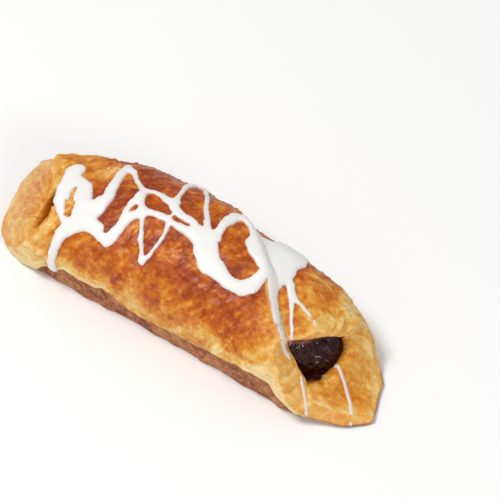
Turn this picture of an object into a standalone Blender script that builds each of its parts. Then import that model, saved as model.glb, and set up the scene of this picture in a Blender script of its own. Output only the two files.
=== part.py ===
"""Filled Danish pastry: a square of laminated dough rolled round a dark fruit filling.

The roll lies along X, its near flap (toward -Y) folded over the far flap (+Y). The two other
corners of the square stay open as tongues, one at each end, and the filling shows at both mouths.
Units are metres and degrees, +Z is up, and the flat of the base rests on Z = 0.
Angles run round the roll's section: 0 bottom, 90 near side, 180 crown, 270 far side.
"""

import bmesh
import bpy
import numpy as np

# Section of the roll at nine stations, from the left tip to the right tip.
STATIONS = (-0.073, -0.060, -0.045, -0.025, 0.0, 0.025, 0.045, 0.060, 0.075)
HALF_WIDTH = (0.0062, 0.0162, 0.0221, 0.0236, 0.0234, 0.0234, 0.0225, 0.0186, 0.0100)
HEIGHT = (0.0190, 0.0261, 0.0280, 0.0334, 0.0354, 0.0321, 0.0253, 0.0178, 0.0108)
CENTRE_Y = (-0.0048, -0.0038, -0.0009, 0.0002, 0.0006, 0.0003, -0.0006, -0.0034, -0.0049)
BASE_LIFT = (0.0018, 0.0, 0.0, 0.0, 0.0, 0.0, 0.0, 0.0014, 0.0006)
SHOULDER = 0.36          # share of the height at which the section is widest
SIDE_POWER = 0.90        # below 1, the section above the shoulder is fuller than an ellipse
CROWN_POWER = 0.95
FOOT = 0.82              # share of the half width that lies flat on the baking tray
FOOT_ANGLE = 35.0        # angle at which the flat foot turns up into the side
FILLING_FOOT = 0.45      # the same share for the filling, which is rounder
MIDDLE_X = 0.00213       # halfway between the two tips, which goes to the origin

# Cut edge of the dough square: how far it reaches along X at each angle of the section.
TIP_ANGLE = 22.0
RIGHT_CROSSING = 145.0
LEFT_CROSSING = 205.0
FLAP_TIP_ANGLE = 245.0
RIGHT_REACH = ((22, 0.0760), (45, 0.0665), (75, 0.0570), (115, 0.0490), (145, 0.0445), (160, 0.0485),
               (180, 0.0520), (200, 0.0543), (222, 0.0560), (245, 0.0595), (270, 0.0632), (300, 0.0672),
               (325, 0.0706), (345, 0.0736), (362, 0.0755), (382, 0.0760))
LEFT_REACH = ((22, 0.0686), (45, 0.0648), (65, 0.0598), (92, 0.0529), (107, 0.0491), (118, 0.0464),
              (130, 0.0452), (150, 0.0448), (175, 0.0498), (205, 0.0588), (245, 0.0662), (270, 0.0686),
              (300, 0.0706), (330, 0.0718), (352, 0.0714), (382, 0.0686))

# Edge of the near flap where it lies on the far flap, from each crossing to the flap's tip.
FLAP_RIGHT = ((145, 0.0455), (160, 0.0375), (180, 0.0275), (200, 0.0175), (225, 0.0060), (245, -0.0020))
FLAP_LEFT = ((205, 0.0560), (220, 0.0460), (235, 0.0210), (245, 0.0040))
FLAP_RISE = 0.0011       # the near flap's edge stands this much above the smooth section
FLAP_DROP = 0.0019       # and the far flap lies this much below it
RISE_FADE = 0.012        # distances from the edge over which the two die away
DROP_FADE = 0.022
FLAP_MARGIN = 0.0020     # the flap's edge keeps this far inside the cut edge
ARC_PER_DEGREE = 0.00043

# The tunnel round the filling opens out over a short stretch of X, and past it each tongue is a
# puffed face that arches from its near cut edge to its far one.
RIGHT_FLARE = (0.0525, 0.0605)
LEFT_FLARE = (0.0446, 0.0590)
NEAR_EDGE = 0.0062       # width of the rounded edge round a tongue, on the near side
FAR_EDGE = 0.0034        # and on the far side
THINNING = 0.006         # the narrower the tongue, the narrower its edges
RIGHT_BULGE = 0.0030
LEFT_BULGE = 0.0048
FULL_SPAN = 0.033        # a tongue this wide or wider has its full bulge
LEAST_SPAN = 0.0005
LEAST_TURN = 1.0
NEAR_SHARE = 0.40        # each edge takes at most this share of the tongue's width
FAR_SHARE = 0.25
ARCH_PEAK = 0.385        # highest value of the arch sqrt(t) * (1 - t), which scales it to 1
END_GAP = 0.0004         # the opening ends at least this far inside the cut edge
BULGE_RUN = 0.006        # the bulge grows over this run from where the two cut edges cross

# Filling, and the clearance between it and the dough round it.
FILLING_STATIONS = (-0.052, -0.028, 0.0, 0.028, 0.055)
FILLING_HALF_WIDTH = (0.0078, 0.0102, 0.0112, 0.0105, 0.0088)
FILLING_HEIGHT = (0.0110, 0.0150, 0.0175, 0.0155, 0.0128)
FILLING_BASE = (0.0080, 0.0076, 0.0076, 0.0070, 0.0065)
FILLING_CENTRE = (-0.0010, -0.0005, 0.0, -0.0015, -0.0047)
FILLING_RIGHT = 0.0475
FILLING_LEFT = -0.0425
FACE_TURN = 0.40         # the right end face turns toward the near side, as its mouth does
FACE_SLANT = 0.0030      # and leans back toward the top
FACE_BULGE = 0.0012
FACE_INSET = 0.55        # the face's inner ring is this share of its outer one
INSET_PROUD = 0.8        # and stands out by this share of the bulge
CLEARANCE = 0.0003

RING_ANGLES = ((TIP_ANGLE, RIGHT_CROSSING, 17), (RIGHT_CROSSING, LEFT_CROSSING, 10),
               (LEFT_CROSSING, FLAP_TIP_ANGLE, 7), (FLAP_TIP_ANGLE, TIP_ANGLE + 360.0, 18))
LEFT_COLUMNS = 12
MIDDLE_COLUMNS = 18
RIGHT_COLUMNS = 14
TUNNEL_COLUMNS = 6
FLARE_COLUMNS = 4
TONGUE_COLUMNS = 6
FILLING_RINGS = 16
FILLING_SEGMENTS = 32
STEP_HALF = 0.0004       # half the width of the step at the flap's edge
RIGHT_SHARE = 0.32       # away from the flap its two columns drift to these shares of the row
LEFT_SHARE = 0.28
DRIFT_TURN = 60.0


def through(value, stations, sizes):
    """Smooth curve through a size given at each station."""
    stations = np.asarray(stations, float)
    sizes = np.asarray(sizes, float)
    slopes = np.gradient(sizes, stations)
    value = np.clip(value, stations[0], stations[-1])
    cell = np.clip(np.searchsorted(stations, value) - 1, 0, len(stations) - 2)
    span = stations[cell + 1] - stations[cell]
    t = (value - stations[cell]) / span
    return ((2 * t**3 - 3 * t**2 + 1) * sizes[cell] + (t**3 - 2 * t**2 + t) * span * slopes[cell]
            + (3 * t**2 - 2 * t**3) * sizes[cell + 1] + (t**3 - t**2) * span * slopes[cell + 1])


def along(pairs, angle):
    """Value at an angle from (angle, value) pairs."""
    return np.interp(angle, [pair[0] for pair in pairs], [pair[1] for pair in pairs])


def ease(value, start, end):
    t = np.clip((value - start) / (end - start), 0.0, 1.0)
    return t * t * (3 - 2 * t)


def section(angle, half_width, height, centre, base, foot):
    """Y and Z of a point on a bun-shaped section: a flat foot, full sides and a rounded crown."""
    turn = np.mod(angle, 360.0)
    around = np.where(turn > 180, 360.0 - turn, turn)
    side = np.where(turn > 180, 1.0, -1.0)
    low = np.radians(90 * np.clip((around - FOOT_ANGLE) / (90 - FOOT_ANGLE), 0, 1))
    high = np.radians(np.clip(around - 90, 0, 90))
    shoulder = SHOULDER * height
    foot_run = foot * half_width * np.clip(around / FOOT_ANGLE, 0, 1)
    low_run = foot_run + (1 - foot) * half_width * np.sin(low)
    low_rise = shoulder * (1 - np.cos(low))
    high_run = half_width * np.abs(np.cos(high)) ** SIDE_POWER
    high_rise = shoulder + (height - shoulder) * np.sin(high) ** CROWN_POWER
    across = np.where(around < 90, low_run, high_run)
    rise = np.where(around < 90, low_rise, high_rise)
    return centre + side * across, base + rise


def flap_outline():
    """The near flap's edge in the unrolled dough: X along the roll, arc length from the crown."""
    points = []
    for angle in np.linspace(RIGHT_CROSSING, FLAP_TIP_ANGLE, 24):
        points.append((along(FLAP_RIGHT, angle), (angle - 180) * ARC_PER_DEGREE))
    for angle in np.linspace(FLAP_TIP_ANGLE, LEFT_CROSSING, 16):
        points.append((-along(FLAP_LEFT, angle), (angle - 180) * ARC_PER_DEGREE))
    return np.array(points)


def flap_level(x, angle, on_near_flap):
    """Height added to the section beside the folded edge, fading away from it."""
    arc = (angle - 180) * ARC_PER_DEGREE
    outline = flap_outline()
    start = outline[:-1]
    run = outline[1:] - start
    share = ((x - start[:, 0]) * run[:, 0] + (arc - start[:, 1]) * run[:, 1]) / (run**2).sum(1)
    share = np.clip(share, 0, 1)
    nearest = start + share[:, None] * run
    distance = np.hypot(nearest[:, 0] - x, nearest[:, 1] - arc).min()
    if on_near_flap:
        return FLAP_RISE * np.exp(-distance / RISE_FADE)
    return -FLAP_DROP * np.exp(-distance / DROP_FADE)


def dough_outside(x, angle, level):
    """A point on the crust."""
    half_width = through(x, STATIONS, HALF_WIDTH) + level
    height = through(x, STATIONS, HEIGHT) + level
    centre = through(x, STATIONS, CENTRE_Y)
    base = through(x, STATIONS, BASE_LIFT)
    y, z = section(angle, half_width, height, centre, base, FOOT)
    return (float(x - MIDDLE_X), float(y), float(max(0.0, z)))


def filling_section(x, angle, grow):
    half_width = through(x, FILLING_STATIONS, FILLING_HALF_WIDTH) + grow
    height = through(x, FILLING_STATIONS, FILLING_HEIGHT) + 2 * grow
    base = through(x, FILLING_STATIONS, FILLING_BASE) - grow
    centre = through(x, FILLING_STATIONS, FILLING_CENTRE)
    return half_width, height, centre, base


def outer_section(x, angle):
    half_width = through(x, STATIONS, HALF_WIDTH)
    height = through(x, STATIONS, HEIGHT)
    centre = through(x, STATIONS, CENTRE_Y)
    return section(angle, half_width, height, centre, through(x, STATIONS, BASE_LIFT), FOOT)


def cut_angles(x, reach):
    """Angles of the near and the far cut edge of a tongue at this distance along the roll."""
    reaches = [pair[1] for pair in reach]
    fold = reaches.index(min(reaches))
    tip = reaches.index(max(reaches[1:]), 1)
    near = list(reversed(reach[:fold + 1]))
    near += [(angle - 360.0, end) for angle, end in reversed(reach[tip:-1])]
    near_angle = np.interp(x, [pair[1] for pair in near], [pair[0] for pair in near])
    far_angle = np.interp(x, reaches[fold:tip + 1], [pair[0] for pair in reach[fold:tip + 1]])
    return near_angle, far_angle


def tongue_face(x, angle, reach, full_bulge):
    """Y and Z on a tongue's upper face, arched from just inside one cut edge to the other."""
    near_angle, far_angle = cut_angles(abs(x), reach)
    shortest, crossing = min((end, at) for at, end in reach)
    near_y, near_z = outer_section(x, near_angle)
    far_y, far_z = outer_section(x, far_angle)
    half_width = through(x, STATIONS, HALF_WIDTH)
    span = max(far_y - near_y, LEAST_SPAN)
    narrowed = half_width / (half_width + THINNING)
    first = min(NEAR_EDGE * narrowed / span, NEAR_SHARE)
    last = 1 - min(FAR_EDGE * narrowed / span, FAR_SHARE)
    turned = angle if angle <= crossing else angle - 360.0
    part = (near_angle - turned) / max(near_angle - far_angle + 360.0, LEAST_TURN)
    across = first + (last - first) * min(max(part, 0.0), 1.0)
    bulge = full_bulge * min(span / FULL_SPAN, 1.0) ** 0.5 * across**0.5 * (1 - across) / ARCH_PEAK
    bulge *= ease(abs(x), shortest, shortest + BULGE_RUN)
    return near_y + span * across, near_z + (far_z - near_z) * across + bulge


def dough_inside(x, angle):
    """A point on the inner face: a close tunnel round the filling, opening onto the tongues."""
    half_width, height, centre, base = filling_section(x, angle, CLEARANCE)
    y, z = section(angle, half_width, height, centre, base, FILLING_FOOT)
    if x > 0:
        open_y, open_z = tongue_face(x, angle, RIGHT_REACH, RIGHT_BULGE)
        flare = ease(x, *RIGHT_FLARE)
    else:
        open_y, open_z = tongue_face(x, angle, LEFT_REACH, LEFT_BULGE)
        flare = ease(-x, *LEFT_FLARE)
    return (float(x - MIDDLE_X), float(y + flare * (open_y - y)), float(z + flare * (open_z - z)))


def ring_angles():
    angles = []
    for start, end, count in RING_ANGLES:
        angles.extend(np.linspace(start, end, count, endpoint=False))
    return angles


def flap_columns(angle):
    """X of the near flap's two edges at this angle; off the flap they drift apart evenly."""
    right_end = along(RIGHT_REACH, angle)
    left_end = -along(LEFT_REACH, angle)
    even_right = right_end - RIGHT_SHARE * (right_end - left_end)
    even_left = left_end + LEFT_SHARE * (right_end - left_end)
    if angle < RIGHT_CROSSING:
        away = ease(RIGHT_CROSSING - angle, 0, DRIFT_TURN)
        right = (right_end - FLAP_MARGIN) * (1 - away) + even_right * away
    elif angle <= FLAP_TIP_ANGLE:
        right = min(along(FLAP_RIGHT, angle), right_end - FLAP_MARGIN)
    else:
        away = ease(angle - FLAP_TIP_ANGLE, 0, DRIFT_TURN)
        right = along(FLAP_RIGHT, FLAP_TIP_ANGLE) * (1 - away) + even_right * away
    if angle < LEFT_CROSSING:
        away = ease(LEFT_CROSSING - angle, 0, DRIFT_TURN)
        left = (left_end + FLAP_MARGIN) * (1 - away) + even_left * away
    elif angle <= FLAP_TIP_ANGLE:
        left = max(-along(FLAP_LEFT, angle), left_end + FLAP_MARGIN)
    else:
        away = ease(angle - FLAP_TIP_ANGLE, 0, DRIFT_TURN)
        left = -along(FLAP_LEFT, FLAP_TIP_ANGLE) * (1 - away) + even_left * away
    return left_end, left, right, right_end


def crust_row(angle):
    """One line of crust points from the left cut edge to the right one."""
    left_end, left, right, right_end = flap_columns(angle)
    outer_left = np.linspace(left_end, left - STEP_HALF, LEFT_COLUMNS + 1)
    middle = np.linspace(left + STEP_HALF, right - STEP_HALF, MIDDLE_COLUMNS + 1)
    outer_right = np.linspace(right + STEP_HALF, right_end, RIGHT_COLUMNS + 1)
    folded_right = RIGHT_CROSSING < angle
    folded_left = LEFT_CROSSING < angle
    past_tip = angle > FLAP_TIP_ANGLE
    row = [dough_outside(x, angle, flap_level(x, angle, not folded_left)) for x in outer_left]
    row += [dough_outside(x, angle, flap_level(x, angle, not past_tip)) for x in middle]
    row += [dough_outside(x, angle, flap_level(x, angle, not folded_right)) for x in outer_right]
    return row


def lining_columns(end, flare):
    """Distances along X from the middle to a mouth, closest together where the tunnel opens out."""
    opens = min(flare[0], end - 2 * END_GAP)
    opened = min(flare[1], end - END_GAP)
    tunnel = np.linspace(0, opens, TUNNEL_COLUMNS, endpoint=False)
    opening = np.linspace(opens, opened, FLARE_COLUMNS, endpoint=False)
    return np.concatenate([tunnel, opening, np.linspace(opened, end, TONGUE_COLUMNS)])


def lining_row(angle):
    """One line of inner-face points from the left cut edge to the right one."""
    left = -lining_columns(along(LEFT_REACH, angle), LEFT_FLARE)
    right = lining_columns(along(RIGHT_REACH, angle), RIGHT_FLARE)
    return [dough_inside(x, angle) for x in np.concatenate([left[:0:-1], right])]


def solid(name, rows_out, rows_in, colour, roughness):
    """A closed body from an outer and an inner sheet, both wrapped round X and joined at their ends."""
    shape = bmesh.new()
    outer = [[shape.verts.new(point) for point in row] for row in rows_out]
    inner = [[shape.verts.new(point) for point in row] for row in rows_in]
    count = len(outer)
    for i in range(count):
        j = (i + 1) % count
        for k in range(len(outer[0]) - 1):
            a, b, c, d = outer[i][k], outer[j][k], outer[j][k + 1], outer[i][k + 1]
            shape.faces.new((a, b, c))
            shape.faces.new((a, c, d))
        for k in range(len(inner[0]) - 1):
            a, b, c, d = inner[i][k], inner[i][k + 1], inner[j][k + 1], inner[j][k]
            shape.faces.new((a, b, c))
            shape.faces.new((a, c, d))
        shape.faces.new((outer[i][0], inner[i][0], inner[j][0]))
        shape.faces.new((outer[i][0], inner[j][0], outer[j][0]))
        shape.faces.new((outer[i][-1], outer[j][-1], inner[j][-1]))
        shape.faces.new((outer[i][-1], inner[j][-1], inner[i][-1]))
    return finish(name, shape, colour, roughness)


def filling_body(name, colour, roughness):
    """The filling: a soft bar closed by a rounded, leaning face at each mouth."""
    shape = bmesh.new()
    rings = []
    for i in range(FILLING_RINGS + 1):
        share = i / FILLING_RINGS
        ring = []
        for k in range(FILLING_SEGMENTS):
            angle = 360.0 * k / FILLING_SEGMENTS
            across = -np.sin(np.radians(angle))
            lean = FACE_SLANT * np.cos(np.radians(angle)) + FACE_TURN * FILLING_HALF_WIDTH[-1] * across
            x = FILLING_LEFT * (1 - share) + (FILLING_RIGHT + lean) * share
            half_width, height, centre, base = filling_section(x, angle, 0.0)
            y, z = section(angle, half_width, height, centre, base, FILLING_FOOT)
            ring.append(shape.verts.new((float(x - MIDDLE_X), float(y), float(z))))
        rings.append(ring)
    for i in range(FILLING_RINGS):
        for k in range(FILLING_SEGMENTS):
            n = (k + 1) % FILLING_SEGMENTS
            shape.faces.new((rings[i][k], rings[i][n], rings[i + 1][n]))
            shape.faces.new((rings[i][k], rings[i + 1][n], rings[i + 1][k]))
    for ring, outward in ((rings[0], -1.0), (rings[-1], 1.0)):
        middle = sum((vertex.co.copy() for vertex in ring), start=ring[0].co * 0.0) / len(ring)
        inner = []
        for vertex in ring:
            point = middle.lerp(vertex.co, FACE_INSET)
            point.x += outward * INSET_PROUD * FACE_BULGE
            inner.append(shape.verts.new(point))
        middle.x += outward * FACE_BULGE
        centre_vertex = shape.verts.new(middle)
        for k in range(len(ring)):
            n = (k + 1) % len(ring)
            shape.faces.new((ring[k], ring[n], inner[n]))
            shape.faces.new((ring[k], inner[n], inner[k]))
            shape.faces.new((inner[k], inner[n], centre_vertex))
    return finish(name, shape, colour, roughness)


def finish(name, shape, colour, roughness):
    bmesh.ops.recalc_face_normals(shape, faces=shape.faces[:])
    if shape.calc_volume(signed=True) < 0:
        bmesh.ops.reverse_faces(shape, faces=shape.faces[:])
    mesh = bpy.data.meshes.new(name)
    shape.to_mesh(mesh)
    shape.free()
    body = bpy.data.objects.new(name, mesh)
    bpy.context.scene.collection.objects.link(body)
    material = bpy.data.materials.new(name + "_material")
    material.use_nodes = True
    principled = material.node_tree.nodes["Principled BSDF"]
    principled.inputs["Base Color"].default_value = colour
    principled.inputs["Roughness"].default_value = roughness
    body.data.materials.append(material)
    return body


for old in list(bpy.data.objects):
    bpy.data.objects.remove(old, do_unlink=True)

angles = ring_angles()
solid("pastry", [crust_row(angle) for angle in angles], [lining_row(angle) for angle in angles],
      (0.46, 0.17, 0.035, 1.0), 0.45)
filling_body("filling", (0.018, 0.004, 0.004, 1.0), 0.2)
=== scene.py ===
"""Looks of a filled Danish pastry: glazed laminated dough, dark fruit filling, white icing drizzle."""

import math

import bpy
import numpy as np
from mathutils import Matrix, Vector
from mathutils.bvhtree import BVHTree


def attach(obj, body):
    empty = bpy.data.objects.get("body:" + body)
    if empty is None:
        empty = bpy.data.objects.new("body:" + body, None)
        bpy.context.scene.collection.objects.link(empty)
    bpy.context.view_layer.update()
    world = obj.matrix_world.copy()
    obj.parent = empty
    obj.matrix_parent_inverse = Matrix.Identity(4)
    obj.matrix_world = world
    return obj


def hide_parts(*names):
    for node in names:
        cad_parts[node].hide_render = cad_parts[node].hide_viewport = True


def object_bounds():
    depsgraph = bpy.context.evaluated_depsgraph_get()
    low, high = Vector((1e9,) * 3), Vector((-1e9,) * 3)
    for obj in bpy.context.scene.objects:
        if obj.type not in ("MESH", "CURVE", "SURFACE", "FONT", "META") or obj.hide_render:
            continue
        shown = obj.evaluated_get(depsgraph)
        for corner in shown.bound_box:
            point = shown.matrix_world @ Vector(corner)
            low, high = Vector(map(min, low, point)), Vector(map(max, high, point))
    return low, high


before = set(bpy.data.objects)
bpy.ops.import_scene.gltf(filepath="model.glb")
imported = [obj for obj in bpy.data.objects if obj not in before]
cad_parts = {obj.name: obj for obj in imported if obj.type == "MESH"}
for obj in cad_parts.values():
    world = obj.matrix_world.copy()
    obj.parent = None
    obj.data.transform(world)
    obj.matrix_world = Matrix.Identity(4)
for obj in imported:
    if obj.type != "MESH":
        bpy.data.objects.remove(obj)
cad_box = [list(corner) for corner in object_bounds()]

# ------------------------------------------------------------------------------------------------
# Crust. A square of laminated dough, rolled round the filling: its near flap lies over its far flap,
# and its two other corners stay open as tongues. Brushed with egg, it bakes to a glossy brown; the
# cut edges stay pale, and where it lay on the tray it is a dull brown band below a flaky ledge.
# ------------------------------------------------------------------------------------------------
MM = 0.001               # lengths are in metres unless a comment says mm
STATIONS = (-0.073, -0.060, -0.045, -0.025, 0.0, 0.025, 0.045, 0.060, 0.075)
HALF_WIDTH = (0.0062, 0.0162, 0.0220, 0.0232, 0.0229, 0.0230, 0.0224, 0.0186, 0.0100)
HEIGHT = (0.0190, 0.0261, 0.0278, 0.0329, 0.0345, 0.0318, 0.0253, 0.0178, 0.0108)
CENTRE_Y = (-0.0048, -0.0038, -0.0009, 0.0002, 0.0006, 0.0003, -0.0006, -0.0034, -0.0049)
BASE_LIFT = (0.0018, 0.0, 0.0, 0.0, 0.0, 0.0, 0.0, 0.0014, 0.0006)
SHOULDER = 0.36          # share of the height at which the section is widest
SIDE_POWER = 0.90        # below 1, the section above the shoulder is fuller than an ellipse
CROWN_POWER = 0.95
FOOT = 0.82              # share of the half width that lies flat on the baking tray
FOOT_ANGLE = 35.0        # angle at which the flat foot turns up into the side
MIDDLE_X = 0.00213       # halfway between the two tips, which goes to the origin

# The dough's outline, unrolled. Each cut edge is (angle round the roll, distance from the middle):
# 0 is the bottom, 90 the near side, 180 the crown, 270 the far side.
TIP_ANGLE = 22.0
RIGHT_CROSSING = 145.0   # where the near flap's edge meets the right cut edge, and the left one
LEFT_CROSSING = 205.0
FLAP_TIP_ANGLE = 245.0
RIGHT_REACH = ((22, .0760), (45, .0665), (75, .0570), (115, .0490), (145, .0445), (160, .0485),
               (180, .0520), (200, .0543), (222, .0560), (245, .0595), (270, .0632), (300, .0671),
               (325, .0706), (345, .0736), (362, .0755), (382, .0760))
LEFT_REACH = ((22, .0674), (45, .0642), (65, .0597), (92, .0528), (107, .0490), (118, .0463),
              (130, .0450), (150, .0446), (175, .0495), (205, .0570), (245, .0655), (270, .0692),
              (300, .0716), (330, .0710), (352, .0696), (382, .0674))
FLAP_RIGHT = ((145, .0455), (160, .0375), (180, .0275), (200, .0175), (225, .0060), (245, -.0020))
FLAP_LEFT = ((205, .0560), (220, .0460), (235, .0210), (245, .0040))
ARC_PER_DEGREE = 0.00043
FLAP_RISE = 0.0011       # the folded edge stands this much above the smooth section
FLAP_DROP = 0.0019       # and the dough it lies on sinks this much below it
RISE_FADE = 0.012        # distances from the edge over which the two die away
DROP_FADE = 0.022
FLAP_BEVEL = 0.0034      # run of the sloping cut edge between the two
EDGE_WAVE = 0.8          # mm by which the edge wavers, in waves of this width
EDGE_WAVE_WIDTH = 7
EDGE_TRIM = 0.0009       # the rounded rims start this far inside the cut line

# The open mouths and the tongues' upper faces.
INNER_PROUD = 0.0012     # the lining stands out this much past the crust on the near side
BULGE_RUN = 0.006        # the bulge grows over this run from where the two cut edges cross
NEAR_EDGE = 0.0054       # width of the rounded edge round a tongue, on the near side
FAR_EDGE = 0.0034        # and on the far side
THINNING = 0.006         # the narrower the tongue, the narrower its edges
TONGUE_BULGE = {1: 0.0030, -1: 0.0044}
FULL_SPAN = 0.033        # a tongue this wide or wider has its full bulge
LEAST_SPAN = 0.0005
LEAST_TURN = 1.0
NEAR_SHARE = 0.40        # each edge takes at most this share of the tongue's width
FAR_SHARE = 0.25
ARCH_PEAK = 0.385        # highest value of the arch sqrt(t) * (1 - t), which scales it to 1
RIGHT_FLARE = (0.0543, 0.0612)    # where each mouth starts to open out and where it is open
LEFT_FLARE = (0.0449, 0.0482)
EARLY_FLARE = 0.0024     # the right mouth opens out this much sooner on the near side
EARLY_ANGLE = 68         # the angle at which it does so most, and how far round that spreads
EARLY_SPREAD = 24

# The tunnel that the filling lies in.
FILLING_STATIONS = (-.052, -.028, 0, .028, .055)
FILLING_HALF_WIDTH = (.0078, .0102, .0112, .0105, .0088)
FILLING_HEIGHT = (.0110, .0150, .0175, .0155, .0128)
FILLING_BASE = (.0080, .0076, .0076, .0070, .0065)
FILLING_CENTRE = (-.0010, -.0005, 0, -.0015, -.0047)
FILLING_FOOT = 0.45
CLEARANCE = 0.0003

SIDE_ROWS = 200          # rows of the crust from foot to foot over the crown
FOOT_ROWS = 60
CRUST_COLUMNS = 216
LINING_COLUMNS = 84
RIM_COLUMNS = 20


def through(value, stations, sizes):
    """Smooth curve through a size given at each station."""
    stations = np.asarray(stations, float)
    sizes = np.asarray(sizes, float)
    slopes = np.gradient(sizes, stations)
    value = np.clip(value, stations[0], stations[-1])
    cell = np.clip(np.searchsorted(stations, value) - 1, 0, len(stations) - 2)
    span = stations[cell + 1] - stations[cell]
    t = (value - stations[cell]) / span
    return ((2 * t**3 - 3 * t**2 + 1) * sizes[cell] + (t**3 - 2 * t**2 + t) * span * slopes[cell]
            + (3 * t**2 - 2 * t**3) * sizes[cell + 1] + (t**3 - t**2) * span * slopes[cell + 1])


def along(pairs, place):
    """Value at a place from (place, value) pairs."""
    return np.interp(place, [pair[0] for pair in pairs], [pair[1] for pair in pairs])


def ease(value, start, end):
    """0 before start, 1 after end, and a smooth rise between."""
    t = np.clip((value - start) / (end - start), 0.0, 1.0)
    return t * t * (3 - 2 * t)


def corner_value(ix, iy, iz, seed):
    """A repeatable random number from 0 to 1 for each whole-numbered corner of a lattice."""
    ix, iy, iz = (np.asarray(i).astype(np.int64).astype(np.uint64) for i in (ix, iy, iz))
    mixed = ix * np.uint64(73856093) ^ iy * np.uint64(19349663) ^ iz * np.uint64(83492791)
    mixed = (mixed ^ np.uint64(seed * 2654435761 % 2**32)) & np.uint64(0xFFFFFFFF)
    mixed = (mixed ^ (mixed >> np.uint64(15))) * np.uint64(2246822519) & np.uint64(0xFFFFFFFF)
    mixed = (mixed ^ (mixed >> np.uint64(13))) * np.uint64(3266489917) & np.uint64(0xFFFFFFFF)
    mixed = mixed ^ (mixed >> np.uint64(16))
    return mixed.astype(float) / 0xFFFFFFFF


def noise(a, b, c=0.0, seed=1):
    """Smooth noise from -1 to 1 with features one unit wide."""
    a, b, c = np.broadcast_arrays(np.asarray(a, float), b, c)
    low = [np.floor(v) for v in (a, b, c)]
    part = [v - f for v, f in zip((a, b, c), low)]
    part = [t * t * t * (t * (t * 6 - 15) + 10) for t in part]
    total = 0.0
    for i in (0, 1):
        for j in (0, 1):
            for k in (0, 1):
                weight = (part[0] if i else 1 - part[0]) * (part[1] if j else 1 - part[1])
                weight = weight * (part[2] if k else 1 - part[2])
                total = total + weight * corner_value(low[0] + i, low[1] + j, low[2] + k, seed)
    return 2 * total - 1


def blisters(a, b, size, share, seed):
    """Domes from 0 to 1 on a jittered grid; each cell holds one of random size, or none."""
    a, b = np.broadcast_arrays(np.asarray(a, float) / size, np.asarray(b, float) / size)
    cell_a = np.floor(a)
    cell_b = np.floor(b)
    tallest = np.zeros(a.shape)
    for i in (-1, 0, 1):
        for j in (-1, 0, 1):
            ca = cell_a + i
            cb = cell_b + j
            present = corner_value(ca, cb, 1, seed) < share
            middle_a = ca + 0.15 + 0.7 * corner_value(ca, cb, 2, seed)
            middle_b = cb + 0.15 + 0.7 * corner_value(ca, cb, 3, seed)
            radius = 0.28 + 0.40 * corner_value(ca, cb, 4, seed) ** 1.5
            stretch = 0.75 + 0.6 * corner_value(ca, cb, 5, seed)
            distance = np.hypot((a - middle_a) * stretch, (b - middle_b) / stretch) / radius
            dome = np.clip(1 - distance**2, 0, 1) ** 1.5 * present * (0.4 + 0.6 * radius / 0.68)
            tallest = np.maximum(tallest, dome)
    return tallest


def section(angle, half_width, height, centre, base, foot):
    """Y and Z of a point on a bun-shaped section: a flat foot, full sides and a rounded crown."""
    turn = np.mod(angle, 360.0)
    around = np.where(turn > 180, 360.0 - turn, turn)
    side = np.where(turn > 180, 1.0, -1.0)
    low = np.radians(90 * np.clip((around - FOOT_ANGLE) / (90 - FOOT_ANGLE), 0, 1))
    high = np.radians(np.clip(around - 90, 0, 90))
    shoulder = SHOULDER * height
    foot_run = foot * half_width * np.clip(around / FOOT_ANGLE, 0, 1)
    low_run = foot_run + (1 - foot) * half_width * np.sin(low)
    low_rise = shoulder * (1 - np.cos(low))
    high_run = half_width * np.abs(np.cos(high)) ** SIDE_POWER
    high_rise = shoulder + (height - shoulder) * np.sin(high) ** CROWN_POWER
    across = np.where(around < 90, low_run, high_run)
    rise = np.where(around < 90, low_rise, high_rise)
    return centre + side * across, base + rise


def flap_distance(x, angle):
    """Distance to the near flap's edge in the unrolled dough, negative on the near flap itself."""
    outline = []
    for turn in np.linspace(RIGHT_CROSSING, FLAP_TIP_ANGLE, 24):
        outline.append((along(FLAP_RIGHT, turn), (turn - 180) * ARC_PER_DEGREE))
    for turn in np.linspace(FLAP_TIP_ANGLE, LEFT_CROSSING, 16):
        outline.append((-along(FLAP_LEFT, turn), (turn - 180) * ARC_PER_DEGREE))
    outline = np.array(outline)
    arc = (angle - 180) * ARC_PER_DEGREE
    x = x + EDGE_WAVE * MM * noise(x / MM / EDGE_WAVE_WIDTH, arc / MM / EDGE_WAVE_WIDTH, seed=17)
    nearest = np.full(np.shape(x), np.inf)
    for start, end in zip(outline[:-1], outline[1:]):
        run = end - start
        share = ((x - start[0]) * run[0] + (arc - start[1]) * run[1]) / (run @ run)
        share = np.clip(share, 0, 1)
        gap = np.hypot(start[0] + share * run[0] - x, start[1] + share * run[1] - arc)
        nearest = np.minimum(nearest, gap)
    past_right = (angle > RIGHT_CROSSING) & (x > along(FLAP_RIGHT, angle))
    past_left = (angle > LEFT_CROSSING) & (x < -along(FLAP_LEFT, angle))
    beyond = past_right | past_left | (angle > FLAP_TIP_ANGLE)
    return np.where(beyond, nearest, -nearest)


def flap_level(distance):
    """Height added to the section near the folded edge: a lip, a sloping cut, then a hollow."""
    lip = FLAP_RISE * np.exp(np.minimum(distance, 0) / RISE_FADE)
    hollow = -FLAP_DROP * np.exp(-np.maximum(distance - FLAP_BEVEL, 0) / DROP_FADE)
    return lip + (hollow - lip) * ease(distance, 0, FLAP_BEVEL)


def crust_surface(x, angle):
    """The smooth crust, before any flakes and blisters."""
    level = flap_level(flap_distance(x, angle))
    half_width = through(x, STATIONS, HALF_WIDTH) + level
    height = through(x, STATIONS, HEIGHT) + level
    y, z = section(angle, half_width, height, through(x, STATIONS, CENTRE_Y),
                   through(x, STATIONS, BASE_LIFT), FOOT)
    return np.stack([x - MIDDLE_X, y, z], axis=-1)


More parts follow.
